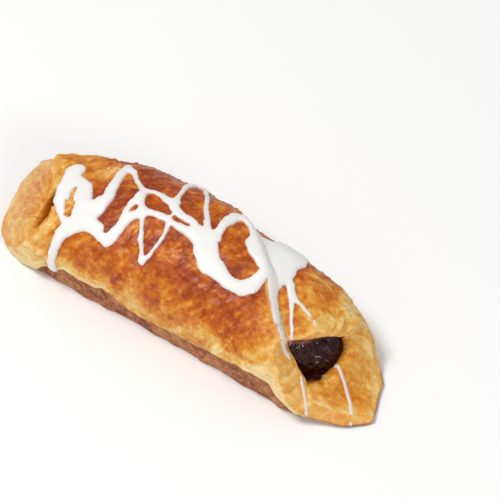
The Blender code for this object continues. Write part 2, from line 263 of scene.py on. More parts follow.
turns = np.linspace(FOOT_ANGLE, 360 - FOOT_ANGLE, 1200)
ring = crust_surface(np.zeros_like(turns), turns)
arcs = np.concatenate([[0], np.cumsum(np.linalg.norm(np.diff(ring, axis=0), axis=1))])
arcs -= np.interp(180, turns, arcs)


def arc_of(angle):
    """Arc length from the crown, negative on the near side."""
    return np.interp(angle, turns, arcs)


def angle_at(arc):
    """Angle round the roll at an arc length from the crown."""
    return np.interp(arc, arcs, turns)


def cross_step(grid, axis):
    """Direction from each point of a grid to the next along one axis."""
    step = np.gradient(grid, axis=axis)
    return step / np.maximum(np.linalg.norm(step, axis=-1, keepdims=True), 1e-12)


# The flaky ledge over the tray-side band on the near side: X along the roll, arc below the crown; mm.
LEDGE = ((-54, 49), (-46, 46), (-40, 38), (-34, 36.3), (-16, 36), (-13, 38.6), (-5, 40), (0, 40.8),
         (5, 39.2), (11, 37.6), (25, 37), (32, 34.8), (40, 32.6), (46, 33.5), (52, 38), (58, 46),
         (64, 51))


def ledge_line(x):
    """Arc at which the flaky top crust ends over the tray-side band."""
    u = x / MM
    wave = 0.9 * noise(u / 9, 0.3, seed=21) + 0.8 * noise(u / 3.6, 5.2, seed=22)
    ragged = 0.5 * noise(u / 1.5, 1.7, seed=23)
    return (along(LEDGE, u) + wave + ragged) * MM


def stretched(u, s):
    """Places measured across and down the lines along which the dough was pulled."""
    return u * 0.86 - s * 0.51, u * 0.51 + s * 0.86


def crust_height(x, arc):
    """Lumps, wrinkles and blisters, in metres off the smooth crust, and how blistered each place is."""
    # Each noise's divisor is its width in mm and its factor is its height in mm.
    u = x / MM
    s = arc / MM
    across, down = stretched(u, s)
    top = ease(-np.abs(s + 2), -36, -29)
    lumps = 0.50 * noise(u / 9.5, s / 8.0, seed=3) + 0.26 * noise(u / 4.2, s / 4.6, seed=4)
    bend = 1.5 * noise(u / 7.0, s / 7.0, seed=5)
    wrinkle = 0.30 * (1 - np.abs(noise((across + bend) / 2.1, down / 9.0, seed=6))) ** 3
    wrinkle = wrinkle + 0.16 * noise((across + bend) / 1.3, down / 5.0, seed=7)
    small = blisters(u + 0.4 * noise(u / 2, s / 2, seed=8), s, 2.1, 0.70, 9)
    large = blisters(u, s + 0.6 * noise(u / 3, s / 3, seed=10), 4.4, 0.50, 11)
    grain = 0.09 * noise(u / 0.9, s / 0.9, seed=12)
    rough = wrinkle * (0.35 + 0.65 * top) + grain + top * (0.30 * small + 0.40 * large)
    return lumps * MM, rough * MM, np.maximum(small, 0.8 * large) * top


def tongue_face(x, angle, sign):
    """The puffed upper face of a tongue: an arch from its near cut edge to its far one."""
    pairs = RIGHT_REACH if sign > 0 else LEFT_REACH
    ends = [pair[1] for pair in pairs]
    fold = ends.index(min(ends))
    tip = ends.index(max(ends[1:]), 1)
    near_pairs = list(pairs[fold::-1]) + [(turn - 360, end) for turn, end in pairs[-2:tip - 1:-1]]
    out = np.abs(x)
    near_turn = np.interp(out, [pair[1] for pair in near_pairs], [pair[0] for pair in near_pairs])
    far_turn = np.interp(out, ends[fold:tip + 1], [pair[0] for pair in pairs[fold:tip + 1]])
    near_y, near_z = outer_section(x, near_turn)
    far_y, far_z = outer_section(x, far_turn)
    half = through(x, STATIONS, HALF_WIDTH)
    span = np.maximum(far_y - near_y, LEAST_SPAN)
    first = np.minimum(NEAR_EDGE * half / (half + THINNING) / span, NEAR_SHARE)
    last = 1 - np.minimum(FAR_EDGE * half / (half + THINNING) / span, FAR_SHARE)
    turned = np.where(angle < pairs[fold][0], angle, angle - 360)
    part = (near_turn - turned) / np.maximum(near_turn - far_turn + 360, LEAST_TURN)
    t = first + (last - first) * np.clip(part, 0, 1)
    arch = t**0.5 * (1 - t) / ARCH_PEAK
    bulge = TONGUE_BULGE[sign] * np.sqrt(np.minimum(span / FULL_SPAN, 1.0)) * arch
    bulge = bulge * ease(out, pairs[fold][1], pairs[fold][1] + BULGE_RUN)
    return near_y + span * t, near_z + (far_z - near_z) * t + bulge


def outer_section(x, angle):
    """Y and Z of the plain rolled section, without the flap's step."""
    return section(angle, through(x, STATIONS, HALF_WIDTH), through(x, STATIONS, HEIGHT),
                   through(x, STATIONS, CENTRE_Y), through(x, STATIONS, BASE_LIFT), FOOT)


def early_opening(angle):
    """How much sooner the right mouth opens out at this angle."""
    return EARLY_FLARE * np.exp(-((angle - EARLY_ANGLE) / EARLY_SPREAD) ** 2)


def lining_surface(x, angle):
    """The inner face: a close tunnel round the filling, opening onto the tongues."""
    half = through(x, FILLING_STATIONS, FILLING_HALF_WIDTH) + CLEARANCE
    tall = through(x, FILLING_STATIONS, FILLING_HEIGHT) + 2 * CLEARANCE
    floor = through(x, FILLING_STATIONS, FILLING_BASE) - CLEARANCE
    middle = through(x, FILLING_STATIONS, FILLING_CENTRE)
    y, z = section(angle, half, tall, middle, floor, FILLING_FOOT)
    right_y, right_z = tongue_face(x, angle, 1)
    left_y, left_z = tongue_face(x, angle, -1)
    flare = np.where(x > 0, ease(x + early_opening(angle), *RIGHT_FLARE), ease(-x, *LEFT_FLARE))
    y = y + flare * (np.where(x > 0, right_y, left_y) - y)
    z = z + flare * (np.where(x > 0, right_z, left_z) - z)
    return np.stack([x - MIDDLE_X, y, z], axis=-1)


def grid_faces(first, second, third, fourth):
    """Quads between the corner numbers of neighbouring grid points."""
    return np.stack([first.ravel(), second.ravel(), third.ravel(), fourth.ravel()], axis=1)


def mesh_piece(name, points, faces, material, attributes):
    """A smooth-shaded object from lists of corners and faces, with named values per corner."""
    mesh = bpy.data.meshes.new(name)
    mesh.from_pydata(points, [], faces)
    mesh.update()
    for key, values in attributes.items():
        layer = mesh.attributes.new(key, "FLOAT", "POINT")
        layer.data.foreach_set("value", np.asarray(values, np.float32))
    mesh.polygons.foreach_set("use_smooth", np.ones(len(mesh.polygons), bool))
    mesh.materials.append(material)
    piece = bpy.data.objects.new(name, mesh)
    bpy.context.scene.collection.objects.link(piece)
    return piece


side_angles = angle_at(np.linspace(arcs[0], arcs[-1], SIDE_ROWS + 1))
foot_angles = np.linspace(360 - FOOT_ANGLE, 360 + FOOT_ANGLE, FOOT_ROWS + 1)[1:-1]
row_angles = np.concatenate([side_angles, foot_angles])
rows = len(row_angles)
wrapped = np.where(row_angles < TIP_ANGLE, row_angles + 360, row_angles)
row_arcs = arc_of(row_angles)


def reach(pairs, seed):
    """Length of the dough from the middle to its cut edge in each row, slightly uneven."""
    angles = np.array([pair[0] for pair in pairs], float)
    sizes = np.array([pair[1] for pair in pairs], float)
    angles = np.concatenate([angles[-3:-1] - 360, angles, angles[1:3] + 360])
    sizes = np.concatenate([sizes[-3:-1], sizes, sizes[1:3]])
    smooth = through(np.where(wrapped > TIP_ANGLE + 360, wrapped - 360, wrapped), angles, sizes)
    round_y = np.cos(np.radians(row_angles))
    round_z = np.sin(np.radians(row_angles))
    uneven = 0.28 * noise(3.3 * round_y, 3.3 * round_z, seed=seed)
    uneven = uneven + 0.14 * noise(9 * round_y, 9 * round_z, seed=seed + 1)
    return smooth - EDGE_TRIM + uneven * MM


right_ends = reach(RIGHT_REACH, 31)
left_ends = -reach(LEFT_REACH, 33)
share = np.linspace(0, 1, CRUST_COLUMNS + 1)
grid_x = left_ends[:, None] * (1 - share) + right_ends[:, None] * share
grid_angle = np.broadcast_to(row_angles[:, None], grid_x.shape)
grid_arc = np.broadcast_to(row_arcs[:, None], grid_x.shape)
u = grid_x / MM
s = grid_arc / MM
distance = flap_distance(grid_x, grid_angle)


def away(sheet):
    """Unit directions off a closed sheet of rows round the roll, pointing away from its middle."""
    closed = np.concatenate([sheet[-1:], sheet, sheet[:1]])
    off = np.cross(cross_step(closed, 0)[1:-1], cross_step(sheet, 1))
    off /= np.maximum(np.linalg.norm(off, axis=-1, keepdims=True), 1e-9)
    return off * np.sign((off * (sheet - sheet.mean(0))).sum(-1).mean())


outside = crust_surface(grid_x, grid_angle)
lumps, rough, blister = crust_height(grid_x, grid_arc)
height = lumps + rough

# The ledge: below it the crust steps in to the tray-side band, which is coarse and pitted.
below = (np.abs(grid_arc) - ledge_line(np.where(grid_arc < 0, grid_x, -grid_x))) / MM
band = ease(below, -0.15, 0.50)
ledge_lip = 0.40 * np.exp(-((below + 0.8) / 0.8) ** 2) + 0.22 * np.exp(-((below + 3.2) / 0.7) ** 2)
tongue_fade = 1 - ease(np.abs(grid_x), 0.052, 0.062)
pits = 0.30 * noise(grid_x / 2.6 / MM, grid_arc / 2.2 / MM, seed=24)
pits = pits + 0.20 * noise(grid_x / 1.1 / MM, grid_arc / 1.0 / MM, seed=25)
height = height * (1 - 0.6 * band) + (ledge_lip + (pits - 1.0) * band) * MM * tongue_fade

# The relief fades out where the dough turns down to the tray.
from_foot = np.where(row_angles > 180, 360 - row_angles, row_angles)
off_tray = ease(from_foot, FOOT_ANGLE, FOOT_ANGLE + 17)[:, None]
SINK = 0.50              # mm that the crust is set in, so that its blisters end at its true size
crust = outside + away(outside) * ((height - SINK * MM) * off_tray)[..., None]

# The foot's outline wavers in and out where the dough spread on the tray.
side = np.sign(grid_arc)
low_side = ease(from_foot, 18, 40) * (1 - ease(from_foot, 52, 84)) * np.sign(row_angles - 180)
sway = 0.62 * noise(u / 8.5, side * 3.1, seed=26) + 0.36 * noise(u / 3.8, side * 2.2, seed=27)
crust[..., 1] += low_side[:, None] * (sway + 0.60) * MM * tongue_fade
crust[..., 1] = np.clip(crust[..., 1], cad_box[0][1], cad_box[1][1])
crust[..., 2] = np.maximum(crust[..., 2], 0.0)

# How far each place is baked, from 0, raw and pale, to 1, dark brown, with one thin line of
# painted shade along the ledge. Places and widths are in mm.
drift = 3.0 * noise(u / 11, s / 11, seed=44) + 1.6 * noise(u / 4, s / 4, seed=45)
# The crown is the brownest; the near side below it and the far side are lighter.
bake_and_shade = 0.33 + 0.24 * ease(s + drift, -35, -27) + 0.16 * ease(s + drift, -27, -12)
bake_and_shade -= 0.14 * ease(s, 14, 34)
# The near flap pales toward the right mouth, and the crust toward the left one.
bake_and_shade -= 0.34 * ease(u + drift, 28, 46) * (distance < 0)
bake_and_shade -= 0.26 * ease(drift - u, 36, 46)
# The far flap's right end is evenly brown, then paler at its tip.
far_end = ease(u, 30, 38) * (distance > 0)
bake_and_shade = bake_and_shade * (1 - far_end) + far_end * (0.50 - 0.22 * ease(u + drift, 42, 51))
# One pale puff by the left end of the icing.
bake_and_shade -= 0.34 * np.exp(-(((u + 38) / 6) ** 2 + ((s - 7) / 5) ** 2) * 1.2)
# Mottling, streaks along the pull of the dough, thin pale scratches and light blister tops.
streak_a, streak_b = stretched(u, s)
bake_and_shade += 0.13 * noise(u / 7, s / 7, seed=41) + 0.09 * noise(streak_a / 1.6, streak_b / 8, seed=42)
bake_and_shade += 0.09 * noise(u / 2.4, s / 2.4, seed=43)
scratch = (1 - np.abs(noise((streak_a + drift) / 2.6, streak_b / 16, seed=46))) ** 14
bake_and_shade -= 0.26 * scratch * (noise(u / 8, s / 8, seed=47) > 0.1)
bake_and_shade -= 0.16 * blister
# Pale along the cut edges.
to_edge = np.minimum(right_ends[:, None] - grid_x, grid_x - left_ends[:, None]) / MM
pale_edge = np.exp(-np.clip(to_edge, 0, None) / 2.2)
bake_and_shade = bake_and_shade * (1 - 0.8 * pale_edge) + 0.10 * 0.8 * pale_edge
# The ledge is pale above its lip, less so in the middle of the near side. Along its edge runs a
# thin dark line, partly dark caramel and partly painted shade under the overhang.
middle_part = ease(u, 4, 16) * (1 - ease(u, 26, 34))
pale = 0.30 * (0.8 + 0.6 * noise(u / 10, 3.3, seed=48)) * (1 - 0.6 * middle_part)
bake_and_shade -= pale * np.exp(-((below + 1.5) / 4.5) ** 2) * (1 - band)
# Painted shade, partly dark caramel: a thin dark line along the ledge's edge.
bake_and_shade += 0.30 * np.exp(-((below + 0.1) / 0.35) ** 2)
# The sloping cut of the folded edge shows pale layers.
flap_cut = ease(distance, -0.4 * MM, 0.3 * MM)
flap_cut = flap_cut * (1 - ease(distance, FLAP_BEVEL - 0.6 * MM, FLAP_BEVEL + 0.2 * MM))

# The lining: the dough's inner face, close round the filling and open on the tongues.
OPENS_SHARE = 0.22       # share of each half's columns before the tunnel starts to open out
OPENED_SHARE = 0.56      # and before it is open
sine = np.sin(np.radians(row_angles))
proud = INNER_PROUD * np.clip(sine, 0, None) ** 2 * (row_angles < 180)


def lining_half(ends, flare):
    """Positions from the middle to one mouth, closest together where the tunnel opens out."""
    share = np.linspace(0, 1, LINING_COLUMNS // 2 + 1)[None, :]
    opens = np.minimum(flare[0], 0.90 * ends)[:, None]
    opened = np.minimum(flare[1], 0.96 * ends)[:, None]
    tunnel = np.clip(share / OPENS_SHARE, 0, 1)
    opening = np.clip((share - OPENS_SHARE) / (OPENED_SHARE - OPENS_SHARE), 0, 1)
    tongue = np.clip((share - OPENED_SHARE) / (1 - OPENED_SHARE), 0, 1)
    return opens * tunnel + (opened - opens) * opening + (ends[:, None] - opened) * tongue


lining_x = np.hstack([-lining_half(-left_ends, LEFT_FLARE)[:, :0:-1],
                      lining_half(right_ends + proud, RIGHT_FLARE)])
lining_angle = np.broadcast_to(row_angles[:, None], lining_x.shape)
inside = lining_surface(lining_x, lining_angle)
LINING_ARC = 0.28        # mm of lining per degree
li_u = lining_x / MM
li_s = lining_angle * LINING_ARC
lining_edge = np.minimum((right_ends + proud)[:, None] - lining_x, lining_x - left_ends[:, None]) / MM
from_edge = np.clip(lining_edge, 0, None)
open_part = ease(np.abs(lining_x), 0.046, 0.056) * (1 - np.exp(-from_edge / 3.0))
bubbles = blisters(li_u, li_s, 4.2, 0.7, 51)
lining_height = 0.35 * bubbles + 0.30 * noise(li_u / 5, li_s / 5, seed=52)
lining_height = lining_height + 0.12 * noise(li_u / 1.8, li_s / 1.8, seed=53)
lining = inside - away(inside) * (lining_height * open_part * MM)[..., None]
lining_bake = 0.36 - 0.14 * bubbles + 0.10 * noise(li_u / 4, li_s / 4, seed=54)
lining_bake = lining_bake - 0.22 * np.exp(-from_edge / 4.0)

# Jam soaks the tunnel up to a smeared line just outside each mouth.
RIGHT_STAIN = (0.0550, 0.0568)
LEFT_STAIN = (0.0456, 0.0472)
smear = 0.7 * MM * noise(li_s / 2.5, 7.7, seed=55) + 1.4 * early_opening(lining_angle)
right_stained = 1 - ease(lining_x + smear, *RIGHT_STAIN)
stained = np.where(lining_x > 0, right_stained, 1 - ease(-lining_x, *LEFT_STAIN))

# The rims: the dough's cut edges at the mouths and tongues.
LAYER = 0.9              # mm from one layer of dough to the next
RIM_ROUND = 0.27         # how far a rim bulges, as a share of its thickness
RIDGE = 0.08             # mm that its layers stand out


def rim(outer_edge, outer_before, inner_edge, inner_before, streaks, seed):
    """The cut edge between crust and lining: rounded, with the dough's layers as fine ridges."""
    thick = np.linalg.norm(inner_edge - outer_edge, axis=1, keepdims=True)
    out_a = outer_edge - outer_before
    out_b = inner_edge - inner_before
    out_a /= np.linalg.norm(out_a, axis=1, keepdims=True)
    out_b /= np.linalg.norm(out_b, axis=1, keepdims=True)
    t = np.linspace(0, 1, RIM_COLUMNS + 1)[None, 1:-1, None]
    pull = RIM_ROUND * thick
    a, b, c, d = (v[:, None, :] for v in (outer_edge, outer_edge + out_a * pull,
                                          inner_edge + out_b * pull, inner_edge))
    curve = (1 - t) ** 3 * a + 3 * (1 - t) ** 2 * t * b + 3 * (1 - t) * t * t * c + t**3 * d
    direction = (out_a + out_b)[:, None, :]
    direction = direction / np.linalg.norm(direction, axis=2, keepdims=True)
    depth = t[:, :, 0] * thick / MM
    around = row_arcs[:, None] / MM
    layer = depth + 0.5 * noise(around / 12, depth * 0.3, seed=seed)
    ridges = 0.4 * np.sin(2 * np.pi * layer / LAYER) + noise(around / 3, depth / 0.6, seed=seed + 1)
    middle = np.sin(np.pi * t[:, :, 0])
    curve = curve + direction * (ridges * RIDGE * middle**0.5 * streaks[:, None] * MM)[..., None]
    return curve, layer, middle**1.2 * streaks[:, None]


near_wall = ease(row_angles, 50, 75) * (1 - ease(row_angles, 140, 160))
right_rim, right_layer, right_cut = rim(crust[:, -1], crust[:, -3], lining[:, -1], lining[:, -3],
                                        0.10 + 0.06 * near_wall, 61)
left_rim, left_layer, left_cut = rim(crust[:, 0], crust[:, 2], lining[:, 0], lining[:, 2],
                                     np.full(rows, 0.12), 63)
for part in (right_rim, left_rim, lining):
    part[..., 2] = np.maximum(part[..., 2], 0.0)

# The four sheets share the corners where they meet, so the crust is one closed skin.
sheets = (crust, lining, right_rim, left_rim)
starts = np.cumsum([0] + [sheet[..., 0].size for sheet in sheets])
crust_id, lining_id, right_id, left_id = (
    start + np.arange(sheet[..., 0].size).reshape(rows, -1) for start, sheet in zip(starts, sheets))
skins = (crust_id, np.hstack([crust_id[:, -1:], right_id, lining_id[:, -1:]]),
         lining_id[:, ::-1], np.hstack([lining_id[:, :1], left_id[:, ::-1], crust_id[:, :1]]))
faces = []
for skin in skins:
    after = np.roll(skin, -1, axis=0)
    faces.append(grid_faces(skin[:, :-1], after[:, :-1], after[:, 1:], skin[:, 1:]))
crust_faces = np.concatenate(faces).tolist()
crust_points = np.concatenate([sheet.reshape(-1, 3) for sheet in sheets]).tolist()


def per_corner(*values):
    """One value per corner from what the crust, lining, right rim and left rim have, in that order."""
    spread = [np.broadcast_to(value, sheet.shape[:2]) for value, sheet in zip(values, sheets)]
    return np.concatenate([value.ravel() for value in spread])


def rim_bake(layer, start, seed):
    """A rim is pale, mottled, and scorched where its outer layers face the tray."""
    scorched = 0.75 * (1 - ease(from_foot, 50, 72))[:, None] * np.exp(-(layer / 0.8) ** 2)
    return start + scorched + 0.10 * noise(layer / 2, row_arcs[:, None] / 3 / MM, seed=seed)


# Jam also marks the inner part of the lip over the right mouth. The inner part of the left mouth's
# upper rim, by its narrow slit, is darkened to the jam's near black: partly jam stain, partly
# painted shade in the slit.
rim_share = np.broadcast_to(np.linspace(0, 1, RIM_COLUMNS + 1)[1:-1], right_layer.shape)
lip_rows = np.exp(-((row_angles - 166) / 15) ** 2)[:, None]
upper_rows = np.exp(-(((row_angles - 150) / 60) ** 2))[:, None]
right_stain = lip_rows * ease(rim_share, 0.66, 0.80) * 0.62
# Painted shade, partly jam stain: the left rim's inner part is darkened along the slit.
left_stain_and_shade = 0.85 * ease(rim_share * upper_rows, 0.60, 0.95)
crust_values = {
    "bake_and_shade": per_corner(bake_and_shade, lining_bake, rim_bake(right_layer, 0.20, 65), rim_bake(left_layer, 0.24, 66)),
    "cut": per_corner(flap_cut, 0.0, right_cut, left_cut),
    "layer": per_corner(distance / MM, 0.0, right_layer, left_layer),
    "band": per_corner(band, 0.0, 0.0, 0.0),
    "stain_and_shade": per_corner(0.0, stained, right_stain, left_stain_and_shade),
}


def linear(text):
    """An sRGB hex colour as linear red, green, blue and alpha."""
    parts = [int(text[i:i + 2], 16) / 255 for i in (1, 3, 5)]
    return tuple(v / 12.92 if v <= 0.04045 else ((v + 0.055) / 1.055) ** 2.4 for v in parts) + (1.0,)


def new_material(name):
    """An empty node material."""
    material = bpy.data.materials.new(name)
    material.use_nodes = True
    material.node_tree.nodes.clear()
    return material


def add(material, kind, inputs=None, stops=None, **settings):
    """Adds a node: its properties, its ramp's stops, and each input's value or the output feeding it."""
    made = material.node_tree.nodes.new(kind)
    for key, value in settings.items():
        setattr(made, key, value)
    if stops:
        while len(made.color_ramp.elements) > 1:
            made.color_ramp.elements.remove(made.color_ramp.elements[0])
        for i, (place, colour) in enumerate(stops):
            element = made.color_ramp.elements[0] if i == 0 else made.color_ramp.elements.new(place)
            element.position = place
            element.color = linear(colour) if isinstance(colour, str) else (colour, colour, colour, 1)
    for key, value in (inputs or {}).items():
        if isinstance(value, bpy.types.NodeSocket):
            material.node_tree.links.new(value, made.inputs[key])
        else:
            made.inputs[key].default_value = value
    return made


# Egg-washed laminated dough: a thin glossy skin over a matte crumb, mottled with light blisters
# where the top layer puffed up, and pale and dry where the layers were cut. The tray-side band is
# dry too, in patches of light and purplish brown. Jam soaks the dough to a near black, and the same
# near black is painted as shade in the left mouth's slit; a thin dark line of painted shade, partly
# caramel, runs along the ledge.
BLISTER = 2.3            # mm from one small blister to the next
BLISTER_SHAKE = 2.2      # mm by which their places are shaken, by a noise this wide
SHAKE_WIDTH = 2.4
MOTTLE = 3.4             # mm across a darker or lighter patch of the crust
SPECKLE = 1.1
GRAIN = 0.5
BAND_PATCH = 9.0         # mm across the band's patches, and across its spots
BAND_SPOT = 2.0
dough = new_material("egg_washed_laminated_dough")
place = add(dough, "ShaderNodeTexCoord").outputs["Object"]
baked_and_shaded, cut, layer, tray, stain_and_shade = (
    add(dough, "ShaderNodeAttribute", attribute_name=key).outputs["Fac"]
    for key in ("bake_and_shade", "cut", "layer", "band", "stain_and_shade"))
shaker = add(dough, "ShaderNodeTexNoise", {
    "Vector": place, "Scale": 1 / (SHAKE_WIDTH * MM), "Detail": 2.0}).outputs["Color"]
shaken = add(dough, "ShaderNodeVectorMath", {0: shaker, 1: (BLISTER_SHAKE * MM,) * 3, 2: place},
             operation="MULTIPLY_ADD").outputs[0]
cells = add(dough, "ShaderNodeTexVoronoi", {
    "Vector": shaken, "Scale": 1 / (BLISTER * MM), "Smoothness": 0.35},
    feature="SMOOTH_F1").outputs["Distance"]
puffs = add(dough, "ShaderNodeMapRange", {"Value": cells, "From Min": 0.50, "From Max": 0.22}).outputs[0]
mottle, speckle, grain, patch, spots = (
    add(dough, "ShaderNodeTexNoise", {
        "Vector": where, "Scale": 1 / (size * MM), "Detail": detail, "Roughness": 0.62}).outputs["Fac"]
    for where, size, detail in ((place, MOTTLE, 5.0), (shaken, SPECKLE, 3.0), (place, GRAIN, 4.0),
                                (place, BAND_PATCH, 2.0), (shaken, BAND_SPOT, 5.0)))

# The crust's tone is how far it is baked, with painted shade along the ledge, mottling and
# speckles, and lighter blister tops.
puffing = add(dough, "ShaderNodeMath", {0: mottle, 1: 1.6, 2: -0.35}, operation="MULTIPLY_ADD").outputs[0]
puffed = add(dough, "ShaderNodeMath", {0: puffs, 1: puffing}, operation="MULTIPLY").outputs[0]
tone = add(dough, "ShaderNodeMath", {0: baked_and_shaded, 1: -0.46}, operation="ADD").outputs[0]
for part, weight in ((mottle, 0.52), (speckle, 0.44), (puffed, -0.17)):
    tone = add(dough, "ShaderNodeMath", {0: part, 1: weight, 2: tone}, operation="MULTIPLY_ADD").outputs[0]
crust_colour = add(dough, "ShaderNodeValToRGB", {"Fac": tone}, stops=(
    (0.0, "#EDD094"), (0.14, "#E6B662"), (0.30, "#DC9838"), (0.45, "#CE781C"), (0.60, "#BA5810"),
    (0.76, "#9E400C"), (1.0, "#742808"))).outputs["Color"]

# Cut dough shows its layers as fine lines.
phase = add(dough, "ShaderNodeMath", {0: layer, 1: 2 * math.pi / LAYER}, operation="MULTIPLY").outputs[0]
lines = add(dough, "ShaderNodeMath", {0: phase}, operation="SINE").outputs[0]
broken = add(dough, "ShaderNodeMath", {0: lines, 1: mottle}, operation="MULTIPLY").outputs[0]
cut_tone = add(dough, "ShaderNodeMath", {0: broken, 1: 0.4, 2: 0.5}, operation="MULTIPLY_ADD").outputs[0]
cut_colour = add(dough, "ShaderNodeValToRGB", {"Fac": cut_tone}, stops=(
    (0.0, "#D2913F"), (0.45, "#E2B063"), (1.0, "#F0D49C"))).outputs["Color"]

patches = add(dough, "ShaderNodeMath", {0: patch, 1: 0.6, 2: -0.30}, operation="MULTIPLY_ADD").outputs[0]
band_tone = add(dough, "ShaderNodeMath", {0: spots, 1: patches}, operation="ADD").outputs[0]
band_colour = add(dough, "ShaderNodeValToRGB", {"Fac": band_tone}, stops=(
    (0.28, "#74392A"), (0.42, "#96563A"), (0.52, "#B2724A"), (0.64, "#C48858"),
    (0.80, "#D2A070"))).outputs["Color"]

colour = crust_colour
for amount, over in ((cut, cut_colour), (tray, band_colour), (stain_and_shade, linear("#2C0B08"))):
    colour = add(dough, "ShaderNodeMixRGB", {"Fac": amount, "Color1": colour, "Color2": over}).outputs[0]
dry = add(dough, "ShaderNodeMath", {0: cut, 1: tray}, operation="MAXIMUM").outputs[0]
gloss = add(dough, "ShaderNodeMath", {0: mottle, 1: 0.30, 2: 0.20}, operation="MULTIPLY_ADD").outputs[0]
roughness = add(dough, "ShaderNodeMixRGB", {
    "Fac": dry, "Color1": gloss, "Color2": (0.75, 0.75, 0.75, 1)}).outputs[0]
fine = add(dough, "ShaderNodeMath", {0: grain, 1: speckle}, operation="ADD").outputs[0]
relief = add(dough, "ShaderNodeMath", {0: puffed, 1: 1.3, 2: fine}, operation="MULTIPLY_ADD").outputs[0]
skin_normal = add(dough, "ShaderNodeBump", {
    "Strength": 0.75, "Distance": 0.16 * MM, "Height": relief}).outputs["Normal"]
skin = add(dough, "ShaderNodeBsdfPrincipled", {
    "Base Color": colour, "Roughness": roughness, "IOR": 1.40, "Specular IOR Level": 0.38,
    "Normal": skin_normal, "Coat Weight": 0.08, "Coat Roughness": 0.12})
add(dough, "ShaderNodeOutputMaterial", {"Surface": skin.outputs[0]})

crust_piece = mesh_piece("laminated_crust", crust_points, crust_faces, dough, crust_values)
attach(crust_piece, "root")
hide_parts("pastry")

# ------------------------------------------------------------------------------------------------
# Filling. Dark cherry jam, cooked thick and laid along the roll; it shows as a wet, lumpy face at
# each mouth, and it nearly touches the dough all round.
# ------------------------------------------------------------------------------------------------
FILLING_RIGHT = 0.0512   # where its end faces stand, from the middle of the roll
FILLING_LEFT = -0.0440
FACE_TURN = 0.55         # the right face turns toward the near side, as its mouth does
FACE_SLANT = 0.0042      # and leans back toward the top
FACE_BULGE = 0.0012
LEAST_RING = 0.04        # the smallest ring of a face, as a share of its outer one
JAM_LUMPS = ((3.2, 1.0), (1.5, 0.6), (0.8, 0.15))    # mm across a lump, and its share of the relief
JAM_GROWTH = 0.00045     # the jam wets the dough, so it reaches just into the lining
JAM_SEGMENTS = 96
JAM_RINGS = 24
FACE_RINGS = 22

jam_angles = np.arange(JAM_SEGMENTS) * 360.0 / JAM_SEGMENTS


def jam_ring(share, shrink):
    """One ring of the filling between its left face, share 0, and its right face, share 1."""
    across = -np.sin(np.radians(jam_angles))
    lean = FACE_SLANT * np.cos(np.radians(jam_angles))
    left = FILLING_LEFT
    right = FILLING_RIGHT + (lean + FACE_TURN * FILLING_HALF_WIDTH[-1] * across) * shrink
    x = left * (1 - share) + right * share
    half = through(x, FILLING_STATIONS, FILLING_HALF_WIDTH) + JAM_GROWTH
    tall = through(x, FILLING_STATIONS, FILLING_HEIGHT) + 2 * JAM_GROWTH
    base = through(x, FILLING_STATIONS, FILLING_BASE) - JAM_GROWTH
    middle = through(x, FILLING_STATIONS, FILLING_CENTRE)
    y, z = section(jam_angles, half, tall, middle, base, FILLING_FOOT)
    heart_z = base + 0.5 * tall
    y = middle + (y - middle) * shrink
    z = heart_z + (z - heart_z) * shrink
    return np.stack([x - MIDDLE_X, y, z], axis=1)


def jam_face(share, shrink, lumps, relief, seed):
    """One ring of an end face, and how far it bulges past the flat face, with its lumps."""
    ring = jam_ring(share, shrink)
    lump = 0.0
    for i, (width, part) in enumerate(lumps):
        lump = lump + part * noise(ring[:, 1] / width / MM, ring[:, 2] / width / MM, seed=seed + i)
    return ring, (FACE_BULGE + relief * MM * lump) * (1 - shrink**4)


jam_rows = []
for shrink in np.linspace(LEAST_RING, 1, FACE_RINGS, endpoint=False):
    ring, bulge = jam_face(0.0, shrink, JAM_LUMPS[:2], 0.7, 71)
    ring[:, 0] -= bulge
    jam_rows.append(ring)
for share in np.linspace(0, 1, JAM_RINGS + 1):
    jam_rows.append(jam_ring(share, 1.0))
for shrink in np.linspace(1, LEAST_RING, FACE_RINGS + 1)[1:]:
    ring, bulge = jam_face(1.0, shrink, JAM_LUMPS, 1.0, 73)
    ring[:, 0] += bulge
    jam_rows.append(ring)
jam_rows = np.array(jam_rows)
jam_id = np.arange(jam_rows.shape[0] * JAM_SEGMENTS).reshape(-1, JAM_SEGMENTS)
beside = np.roll(jam_id, -1, axis=1)
jam_faces = grid_faces(jam_id[:-1], beside[:-1], beside[1:], jam_id[1:]).tolist()
jam_points = jam_rows.reshape(-1, 3).tolist()
for ring_ids, end in ((jam_id[0][::-1], 0), (jam_id[-1], -1)):
    jam_points.append(jam_rows[end].mean(0).tolist())
    centre = len(jam_points) - 1
    for i, j in zip(ring_ids, np.roll(ring_ids, -1)):
        jam_faces.append([int(i), int(j), centre])

# A browned skin covers the near top part of the right face, down to a wavering slanted line.
jam_x, jam_y, jam_z = (np.array(jam_points) / MM).T
film_line = 17.3 - 0.22 * (jam_y + 6) + 0.6 * noise(jam_y / 1.5, 0.4, seed=76)
film = ease(jam_z - film_line, 0, 0.4) * ease(jam_x, 38, 43) * (1 - ease(jam_y, -2.5, -0.5))

